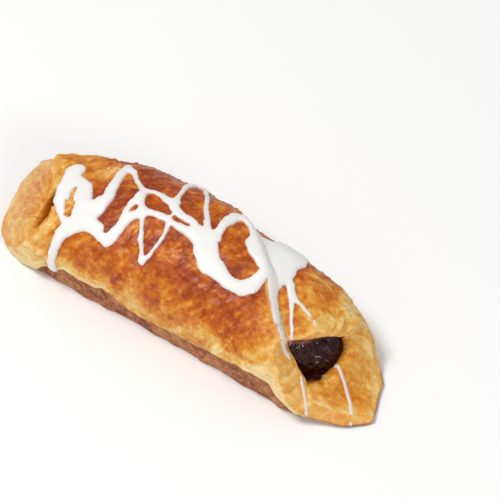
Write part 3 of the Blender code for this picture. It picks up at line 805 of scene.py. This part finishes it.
# Cooked fruit jam: nearly black red, wet, with a soft bright highlight on each lump. Where its skin
# browned against the dough it is a pinkish brown.
PULP = 1.1               # mm across a speck of pulp
LUMP = 2.0               # mm across the soft lumps that the material adds to the mesh's own
jam = new_material("cooked_cherry_jam")
jam_place = add(jam, "ShaderNodeTexCoord").outputs["Object"]
pulp = add(jam, "ShaderNodeTexNoise", {
    "Vector": jam_place, "Scale": 1 / (PULP * MM), "Detail": 5.0}).outputs["Fac"]
jam_colour = add(jam, "ShaderNodeValToRGB", {"Fac": pulp}, stops=(
    (0.34, "#190405"), (0.52, "#300809"), (0.74, "#5C1716"))).outputs["Color"]
film_colour = add(jam, "ShaderNodeValToRGB", {"Fac": pulp}, stops=(
    (0.35, "#5E2E22"), (0.55, "#8A4E3E"), (0.72, "#B07A68"))).outputs["Color"]
skinned = add(jam, "ShaderNodeAttribute", attribute_name="film").outputs["Fac"]
jam_mixed = add(jam, "ShaderNodeMixRGB", {
    "Fac": skinned, "Color1": jam_colour, "Color2": film_colour}).outputs[0]
lump_height = add(jam, "ShaderNodeTexNoise", {
    "Vector": jam_place, "Scale": 1 / (LUMP * MM), "Detail": 1.5}).outputs["Fac"]
jam_normal = add(jam, "ShaderNodeBump", {
    "Strength": 1.0, "Distance": 0.55 * MM, "Height": lump_height}).outputs["Normal"]
jam_skin = add(jam, "ShaderNodeBsdfPrincipled", {
    "Base Color": jam_mixed, "Roughness": 0.13, "IOR": 1.40, "Specular IOR Level": 0.45,
    "Normal": jam_normal})
add(jam, "ShaderNodeOutputMaterial", {"Surface": jam_skin.outputs[0]})

jam_piece = mesh_piece("cherry_filling", jam_points, jam_faces, jam, {"film": film})
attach(jam_piece, "root")
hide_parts("filling")

# ------------------------------------------------------------------------------------------------
# Icing. Sugar and water, drizzled back and forth across the crown while it was runny: it pooled
# where the spoon turned, ran down the sides in drips, and set to a smooth, rounded skin.
# ------------------------------------------------------------------------------------------------
ICING_CELL = 0.36        # mm between the points of the icing's sheet
ICING_RISE = 0.95        # how steeply a thin strand domes up
ICING_LEVEL = 1.0        # mm from its edge at which a pool levels off
BLEND = 0.9              # mm over which two strands melt together
BARE_BLEND = 0.5
EDGE_SWAY = 0.28         # mm by which the strands' edges waver
EDGE_SWAY_WIDTH = 2.6
SOLVE_ROUNDS = 260
RIM_SINK = 0.10          # mm that the icing's rim dips into the crust
UNDER_SINK = 0.55        # and its underside
SETTLE = 0.22            # mm of icing that hides most of the crust's fine relief

# Strands on the unrolled crust: each point is X along the roll, arc from the crown, half width; mm.
STRANDS = (
    ((-46.8, 4.2, 3.0), (-46.0, 0.0, 2.7), (-44.7, -5.0, 2.5), (-43.2, -10.0, 2.3), (-41.0, -12.9, 1.5)),
    ((-43.5, 0.0, 2.0), (-39.5, -2.2, 2.4), (-37.5, -6.0, 3.0), (-34.5, -10.5, 3.5)),
    ((-33.6, 13.0, 1.4), (-33.0, 8.0, 1.7), (-31.3, 2.0, 1.8), (-30.0, -3.0, 2.5), (-30.2, -9.0, 3.0),
     (-31.5, -14.0, 3.6), (-35.0, -17.0, 3.2), (-36.8, -20.5, 2.3), (-37.3, -25.0, 1.7),
     (-37.8, -30.0, 1.5), (-37.9, -34.5, 1.5), (-37.8, -37.0, 1.9)),
    ((-41.5, -13.2, 1.2), (-38.5, -15.6, 1.4)),
    ((-30.0, -14.5, 3.2), (-26.0, -15.2, 2.4), (-23.0, -17.2, 1.6), (-20.8, -17.4, 2.1)),
    ((-20.4, -17.0, 2.3), (-19.5, -13.0, 1.7), (-18.9, -9.5, 1.7), (-17.8, -6.8, 1.4), (-15.9, -4.6, 1.9)),
    ((-20.2, 3.6, 1.5), (-20.1, 0.5, 1.7), (-20.5, -3.0, 1.2), (-20.6, -6.0, 1.0), (-20.2, -9.0, 1.1)),
    ((-19.8, 1.5, 1.1), (-18.2, -1.4, 1.0), (-16.2, -3.4, 1.3)),
    ((-33.0, 12.0, 1.4), (-30.0, 10.8, 1.1), (-28.0, 9.0, 0.9), (-25.5, 6.8, 0.85), (-23.0, 4.9, 0.9),
     (-21.0, 4.0, 1.1), (-18.0, 4.7, 1.0), (-15.0, 4.9, 1.0), (-12.5, 4.4, 1.2), (-10.3, 3.7, 1.6),
     (-8.0, 2.4, 1.6), (-5.0, 1.3, 1.2), (-2.0, 0.9, 1.3), (1.0, 0.2, 1.4), (4.0, -0.8, 1.7),
     (7.0, -1.8, 2.4)),
    ((-15.7, -4.3, 2.0), (-13.0, -3.0, 1.1), (-9.5, -2.7, 1.2), (-6.0, -2.8, 1.2), (-2.5, -3.1, 1.3),
     (1.0, -3.1, 1.5), (4.5, -3.6, 1.8), (8.0, -5.0, 2.8)),
    ((-7.2, 1.0, 0.8), (-7.2, -2.0, 0.8)),
    ((-14.6, -5.8, 1.0), (-13.2, -8.0, 0.65), (-11.4, -11.0, 0.7), (-10.8, -12.6, 0.95),
     (-9.6, -14.4, 0.7), (-8.2, -17.0, 0.75), (-7.0, -18.6, 1.3)),
    ((-7.0, -18.7, 1.3), (-5.6, -16.0, 0.7), (-4.9, -12.0, 0.6), (-4.9, -9.0, 0.6), (-5.5, -6.0, 0.7),
     (-6.2, -3.8, 1.0)),
    ((-9.3, 4.5, 1.4), (-10.2, 7.5, 0.85), (-10.9, 10.5, 0.75), (-11.8, 13.5, 0.95), (-12.5, 17.0, 1.2),
     (-12.8, 20.0, 1.4), (-12.4, 22.6, 1.4), (-10.0, 22.8, 1.0), (-8.0, 20.8, 0.9), (-6.2, 18.0, 0.8),
     (-4.2, 15.2, 0.75), (-3.0, 12.6, 0.8), (-1.4, 10.2, 0.85), (0.4, 8.0, 0.9), (1.8, 6.0, 0.9),
     (3.2, 3.8, 0.9), (4.8, 2.0, 1.0), (6.2, 0.6, 1.2)),
    ((9.0, 0.0, 2.2), (8.7, 3.0, 1.5), (8.2, 6.0, 1.5), (8.1, 9.0, 2.1), (8.6, 12.0, 2.2),
     (10.2, 13.8, 1.7), (12.5, 12.7, 1.0), (14.8, 11.4, 0.9), (17.0, 9.9, 1.4)),
    ((9.8, -5.5, 4.2), (12.5, -8.5, 3.6), (16.5, -9.0, 3.0), (21.0, -10.1, 2.2), (25.5, -9.2, 2.5),
     (28.1, -6.5, 2.3), (28.5, -3.5, 2.0), (28.4, -1.0, 1.8)),
    ((10.5, 20.5, 1.8), (13.5, 17.0, 1.8), (16.5, 13.5, 2.2), (18.8, 9.0, 2.4), (19.5, 6.0, 2.5),
     (22.5, 3.8, 2.6), (26.5, 2.2, 2.7)),
    ((20.0, 14.0, 2.6), (25.0, 12.0, 5.5), (29.0, 9.0, 5.5), (31.0, 5.0, 4.2), (31.5, 1.0, 2.6)),
    ((27.0, 28.0, 4.8), (27.0, 20.0, 5.8), (28.0, 14.0, 6.5)),
    ((31.0, 1.0, 2.2), (33.0, -2.0, 1.4), (35.5, -4.8, 1.05), (38.5, -7.6, 1.0), (40.6, -9.8, 0.9)),
    ((35.5, 4.2, 1.6), (38.0, 0.8, 1.1), (40.0, -2.0, 0.85), (42.0, -5.0, 0.7), (44.0, -8.0, 0.7),
     (45.6, -11.0, 0.6)),
    ((37.0, 2.4, 1.3), (40.5, 0.7, 0.75), (43.5, 0.4, 0.6), (46.0, 0.1, 0.5), (48.0, -0.3, 0.5),
     (49.3, -0.6, 0.4)),
)
# Thin drips over the right mouth and its tongue: X, Y, Z, half width; mm.
DRIPS = (
    ((36.5, -6.8, 25.6, 0.95), (38.8, -9.0, 24.9, 1.15), (40.8, -11.2, 24.2, 1.2),
     (42.3, -12.9, 22.6, 1.15), (43.3, -13.4, 20.2, 1.05), (44.4, -13.7, 18.4, 0.85),
     (45.9, -14.2, 17.2, 0.45)),
    ((50.5, -14.7, 13.0, 0.42), (53.4, -17.2, 10.3, 0.50), (55.5, -19.1, 7.3, 0.46),
     (57.1, -20.7, 4.1, 0.62)),
    ((54.4, -3.3, 10.1, 0.80), (55.5, -3.3, 10.9, 0.80), (57.0, -3.8, 11.5, 0.62), (59.7, -4.9, 8.7, 0.60),
     (61.6, -6.0, 6.7, 0.62), (64.9, -8.5, 4.3, 0.55), (67.8, -11.5, 3.0, 0.70)),
    ((68.4, -13.2, 1.5, 0.45), (69.0, -13.7, 1.4, 0.55), (69.6, -14.0, 1.4, 0.45)),
)
BEAD_SIDES = 14
BEAD_STEP = 0.35         # mm from one ring of a drip to the next
BEAD_RISE = 0.85         # height of a drip as a share of its half width
BEAD_SINK = 0.30         # mm that it reaches into the crust
BEAD_WHITE = 0.5         # mm added to its thickness for colour alone, because a drip dries opaque
# Crust that the icing left bare inside its pools.
BARE = (
    ((-38.9, -9.6, 0.7), (-38.8, -11.5, 1.2), (-38.7, -13.6, 0.8)),
    ((-41.6, -9.4, 0.3), (-40.0, -11.8, 0.4)),
    ((-36.8, -1.8, 0.3), (-34.8, -3.2, 0.9), (-33.4, -4.8, 0.5)),
    ((-35.0, 1.0, 1.0), (-33.6, -1.0, 0.8), (-32.0, -3.8, 0.4)),
    ((16.5, 21.5, 2.6), (16.8, 25.0, 3.2)),
)


def strand_depth(u, s, strands, blend):
    """How far inside the strands a place lies, mm; neighbours melt into each other."""
    total = np.zeros(u.shape)
    for strand in strands:
        for a, b in zip(strand[:-1], strand[1:]):
            run_u = b[0] - a[0]
            run_s = b[1] - a[1]
            t = np.clip(((u - a[0]) * run_u + (s - a[1]) * run_s) / (run_u**2 + run_s**2), 0, 1)
            depth = a[2] + t * (b[2] - a[2]) - np.hypot(u - a[0] - t * run_u, s - a[1] - t * run_s)
            total = total + np.exp(np.clip(depth, -12, 12) / blend * 4)
    return blend / 4 * np.log(np.maximum(total, 1e-12))


cells_u = np.arange(-51, 53, ICING_CELL)
cells_s = np.arange(-41, 33, ICING_CELL)
sheet_u, sheet_s = np.meshgrid(cells_u, cells_s, indexing="ij")
sway_u, sway_s = (
    EDGE_SWAY * noise(sheet_u / EDGE_SWAY_WIDTH, sheet_s / EDGE_SWAY_WIDTH, seed=seed) for seed in (81, 82))
depth = strand_depth(sheet_u + sway_u, sheet_s + sway_s, STRANDS, BLEND)
depth = np.minimum(depth, -strand_depth(sheet_u + sway_u, sheet_s + sway_s, BARE, BARE_BLEND))

# The liquid's own surface: solved as a film held at its edge, which domes over thin strands and
# lies level over pools.
wet = depth > 0
liquid = np.zeros(depth.shape)
for _ in range(SOLVE_ROUNDS):
    around = np.zeros(depth.shape)
    around[1:-1, 1:-1] = liquid[2:, 1:-1] + liquid[:-2, 1:-1] + liquid[1:-1, 2:] + liquid[1:-1, :-2]
    liquid = np.where(wet, (around + ICING_CELL**2) / (4 + (ICING_CELL / ICING_LEVEL) ** 2), 0)
icing_height = ICING_RISE * np.sqrt(2 * liquid)


ROLL_HEART = (0.0, 0.0, 0.012)


def sheet_place(u, s, lift):
    """Points on the crust under the icing, lifted along its outward direction; mm in, metres out."""
    def surface(du, ds):
        """The smooth crust this far along the roll and round it from each point."""
        return crust_surface((u + du) * MM, angle_at((s + ds) * MM))
    here = surface(0, 0)
    out = np.cross(surface(0, 0.5) - surface(0, -0.5), surface(0.5, 0) - surface(-0.5, 0))
    out /= np.linalg.norm(out, axis=-1, keepdims=True)
    out *= np.where((out * (here - ROLL_HEART)).sum(-1, keepdims=True) < 0, -1, 1)
    lumps, rough, _ = crust_height(u * MM, s * MM)
    showing = np.exp(-np.clip(lift, 0, None) / SETTLE)
    return here + out * (lumps + rough * showing + (lift - SINK) * MM)[..., None]


LEAST_CUT = 0.06         # an edge of the grid is never cut closer to its ends than this share
ON_RIM = -1.0            # stands for the height of a point on the icing's edge


def contour_sheet(field, heights):
    """Corners and triangles of the wet area, cut cleanly along the field's zero line."""
    index = {}
    flat_u, flat_s, flat_h = [], [], []
    triangles = []

    def corner(i, j):
        """Number of the point at a corner of the grid."""
        key = (i, j)
        if key not in index:
            index[key] = len(flat_u)
            flat_u.append(cells_u[i])
            flat_s.append(cells_s[j])
            flat_h.append(heights[i, j])
        return index[key]

    def crossing(i, j, m, n):
        """Number of the point where the edge from an iced corner to a bare one leaves the icing."""
        key = (min((i, j), (m, n)), max((i, j), (m, n)))
        if key not in index:
            t = min(max(field[i, j] / (field[i, j] - field[m, n]), LEAST_CUT), 1 - LEAST_CUT)
            index[key] = len(flat_u)
            flat_u.append(cells_u[i] + t * (cells_u[m] - cells_u[i]))
            flat_s.append(cells_s[j] + t * (cells_s[n] - cells_s[j]))
            flat_h.append(ON_RIM)
        return index[key]

    iced = field > 0
    for i, j in zip(*np.nonzero(iced[:-1, :-1] | iced[1:, :-1] | iced[:-1, 1:] | iced[1:, 1:])):
        loop = ((i, j), (i + 1, j), (i + 1, j + 1), (i, j + 1))
        for three in ((loop[0], loop[1], loop[2]), (loop[0], loop[2], loop[3])):
            polygon = []
            for p, q in zip(three, three[1:] + three[:1]):
                if iced[p]:
                    polygon.append(corner(*p))
                if iced[p] != iced[q]:
                    polygon.append(crossing(*p, *q) if iced[p] else crossing(*q, *p))
            for k in range(1, len(polygon) - 1):
                triangles.append((polygon[0], polygon[k], polygon[k + 1]))
    return np.array(flat_u), np.array(flat_s), np.array(flat_h), np.array(triangles)


def bead(path, tree):
    """A thin drip along a path of X, Y, Z and half width in mm, lying on the crust."""
    path = np.array(path)
    run = np.concatenate([[0], np.cumsum(np.linalg.norm(np.diff(path[:, :3], axis=0), axis=1))])
    steps = np.linspace(0, run[-1], max(int(run[-1] / BEAD_STEP), 6))
    line = np.stack([through(steps, run, path[:, i]) for i in range(3)], axis=1) * MM
    half = through(steps, run, path[:, 3]) * (1 + 0.12 * noise(steps / 1.3, path[0, 0], seed=83))
    rounded = np.clip((np.minimum(steps, run[-1] - steps) + 0.06) / half, 0, 1)
    half = half * np.sqrt(rounded) * MM
    ring_points, lifts, ring_faces = [], [], []
    for spot, way, wide in zip(line, np.gradient(line, axis=0), half):
        _, normal, _, _ = tree.find_nearest(Vector(spot))
        across = Vector(way).normalized().cross(normal).normalized()
        for turn in np.linspace(0, 2 * math.pi, BEAD_SIDES, endpoint=False):
            foot, _, _, _ = tree.find_nearest(Vector(spot) + across * wide * math.cos(turn))
            tall = wide * BEAD_RISE if turn < math.pi else BEAD_SINK * MM
            rise = tall * math.sin(turn)
            ring_points.append(list(foot + normal * rise))
            lifts.append(max(rise, 0) / MM + BEAD_WHITE)
    for i in range(len(line) - 1):
        for j in range(BEAD_SIDES):
            k = (j + 1) % BEAD_SIDES
            ring_faces.append([i * BEAD_SIDES + j, (i + 1) * BEAD_SIDES + j,
                               (i + 1) * BEAD_SIDES + k, i * BEAD_SIDES + k])
    ring_faces.append(list(range(BEAD_SIDES)))
    ring_faces.append([(len(line) - 1) * BEAD_SIDES + j for j in reversed(range(BEAD_SIDES))])
    return ring_points, ring_faces, lifts


iced_u, iced_s, iced_h, iced_tris = contour_sheet(depth, icing_height)
count = len(iced_u)
top = sheet_place(iced_u, iced_s, np.where(iced_h < 0, -RIM_SINK, iced_h))
top[:, 2] = np.minimum(top[:, 2], cad_box[1][2] - 0.05 * MM)
top[:, 1] = np.clip(top[:, 1], cad_box[0][1], cad_box[1][1])
under = sheet_place(iced_u, iced_s, np.full(count, -UNDER_SINK))

# A wall joins the two sheets along the edges that only one triangle has.
edges = np.concatenate([iced_tris[:, [0, 1]], iced_tris[:, [1, 2]], iced_tris[:, [2, 0]]])
keys = edges[:, 0] * count + edges[:, 1]
back_keys = edges[:, 1] * count + edges[:, 0]
border = edges[~np.isin(keys, back_keys)]
walls = np.stack([border[:, 1], border[:, 0], border[:, 0] + count, border[:, 1] + count], axis=1)
icing_faces = iced_tris.tolist() + (iced_tris[:, ::-1] + count).tolist() + walls.tolist()
icing_points = np.concatenate([top, under]).tolist()
icing_thickness = np.maximum(iced_h, 0).tolist() * 2

crust_tree = BVHTree.FromPolygons(crust_points, crust_faces)
for drip in DRIPS:
    drip_points, drip_faces, drip_lifts = bead(drip, crust_tree)
    icing_faces += [[corner + len(icing_points) for corner in face] for face in drip_faces]
    icing_points += drip_points
    icing_thickness += drip_lifts

# Set sugar icing: a bright, slightly waxy white that light sinks into; where it is thin, the brown
# crust under it tints it pink.
ICING_CLOUD = 5.0        # mm across a cloudy patch
icing = new_material("set_sugar_icing")
icing_place = add(icing, "ShaderNodeTexCoord").outputs["Object"]
deep = add(icing, "ShaderNodeAttribute", attribute_name="thickness").outputs["Fac"]
cloud = add(icing, "ShaderNodeTexNoise", {
    "Vector": icing_place, "Scale": 1 / (ICING_CLOUD * MM), "Detail": 2.0}).outputs["Fac"]
cloudy = add(icing, "ShaderNodeMath", {0: cloud, 1: 0.25, 2: -0.125}, operation="MULTIPLY_ADD").outputs[0]
icing_tone = add(icing, "ShaderNodeMath", {0: deep, 1: 0.8, 2: cloudy}, operation="MULTIPLY_ADD").outputs[0]
icing_colour = add(icing, "ShaderNodeValToRGB", {"Fac": icing_tone}, stops=(
    (0.0, "#CDB0A4"), (0.26, "#DFCCC7"), (0.60, "#E8E1DD"), (1.0, "#EEECE8"))).outputs["Color"]
icing_normal = add(icing, "ShaderNodeBump", {
    "Strength": 0.25, "Distance": 0.2 * MM, "Height": cloud}).outputs["Normal"]
icing_skin = add(icing, "ShaderNodeBsdfPrincipled", {
    "Base Color": icing_colour, "Roughness": 0.42, "IOR": 1.45, "Normal": icing_normal,
    "Subsurface Weight": 0.25, "Subsurface Radius": (1.0, 0.8, 0.6), "Subsurface Scale": 0.8 * MM})
add(icing, "ShaderNodeOutputMaterial", {"Surface": icing_skin.outputs[0]})

icing_piece = mesh_piece("icing_drizzle", icing_points, icing_faces, icing, {"thickness": icing_thickness})
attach(icing_piece, "root")

# ------------------------------------------------------------------------------------------------
# Floor, light and camera. A plain white table; a large soft box high over the pastry, a little to
# the left; a smaller, weaker one on the right; and an even sky.
# ------------------------------------------------------------------------------------------------
FLOOR_SIZE = 3.0
bpy.ops.mesh.primitive_plane_add(size=FLOOR_SIZE, location=(0, 0, -0.0001))
floor = bpy.context.object
floor.name = "table_top"

# Matt lacquer: an even white with no highlight, so the pastry's own colours and shadow stand out.
table = new_material("matt_white_table")
table_skin = add(table, "ShaderNodeBsdfPrincipled", {"Base Color": linear("#F7F7F6"), "Roughness": 0.9})
add(table, "ShaderNodeOutputMaterial", {"Surface": table_skin.outputs[0]})
floor.data.materials.append(table)

HEART = Vector((0, 0, 0.015))


def soft_light(name, place, size, power):
    """A square soft box of this width and power, aimed at the pastry."""
    lamp = bpy.data.lights.new(name, "AREA")
    lamp.size = size
    lamp.energy = power
    holder = bpy.data.objects.new(name, lamp)
    holder.location = place
    holder.rotation_euler = (HEART - Vector(place)).to_track_quat("-Z", "Y").to_euler()
    bpy.context.scene.collection.objects.link(holder)


soft_light("key_light", (-0.45, -0.35, 1.15), 0.45, 9.8)
soft_light("fill_light", (0.9, -0.5, 0.7), 0.32, 3.4)

world = bpy.data.worlds.new("even_sky")
bpy.context.scene.world = world
world.use_nodes = True
world.node_tree.nodes["Background"].inputs["Color"].default_value = (1.0, 1.0, 1.0, 1.0)
world.node_tree.nodes["Background"].inputs["Strength"].default_value = 0.44

VIEW_TURN = math.radians(35.72)
VIEW_RISE = math.radians(50.0)
VIEW_DISTANCE = 1.0
LENS = 227.4
SENSOR = 36.0
AIM_RIGHT = 0.01717      # the camera aims this far past the pastry's heart, so it sits off centre
AIM_UP = 0.00598
toward = Vector((math.sin(VIEW_TURN) * math.cos(VIEW_RISE), -math.cos(VIEW_TURN) * math.cos(VIEW_RISE),
                 math.sin(VIEW_RISE)))
right_hand = Vector((math.cos(VIEW_TURN), math.sin(VIEW_TURN), 0))
upward = toward.cross(right_hand)
aim = HEART + right_hand * AIM_RIGHT + upward * AIM_UP
eye = HEART + toward * VIEW_DISTANCE
facing = (eye - aim).normalized()
sideways = upward.cross(facing).normalized()
over = facing.cross(sideways)
camera = bpy.data.objects.new("camera", bpy.data.cameras.new("camera"))
camera.matrix_world = Matrix.Translation(eye) @ Matrix((sideways, over, facing)).transposed().to_4x4()
camera.data.lens = LENS
camera.data.sensor_width = SENSOR
camera.data.clip_end = 10.0
bpy.context.scene.collection.objects.link(camera)
bpy.context.scene.camera = camera
bpy.context.scene.view_settings.view_transform = "Standard"
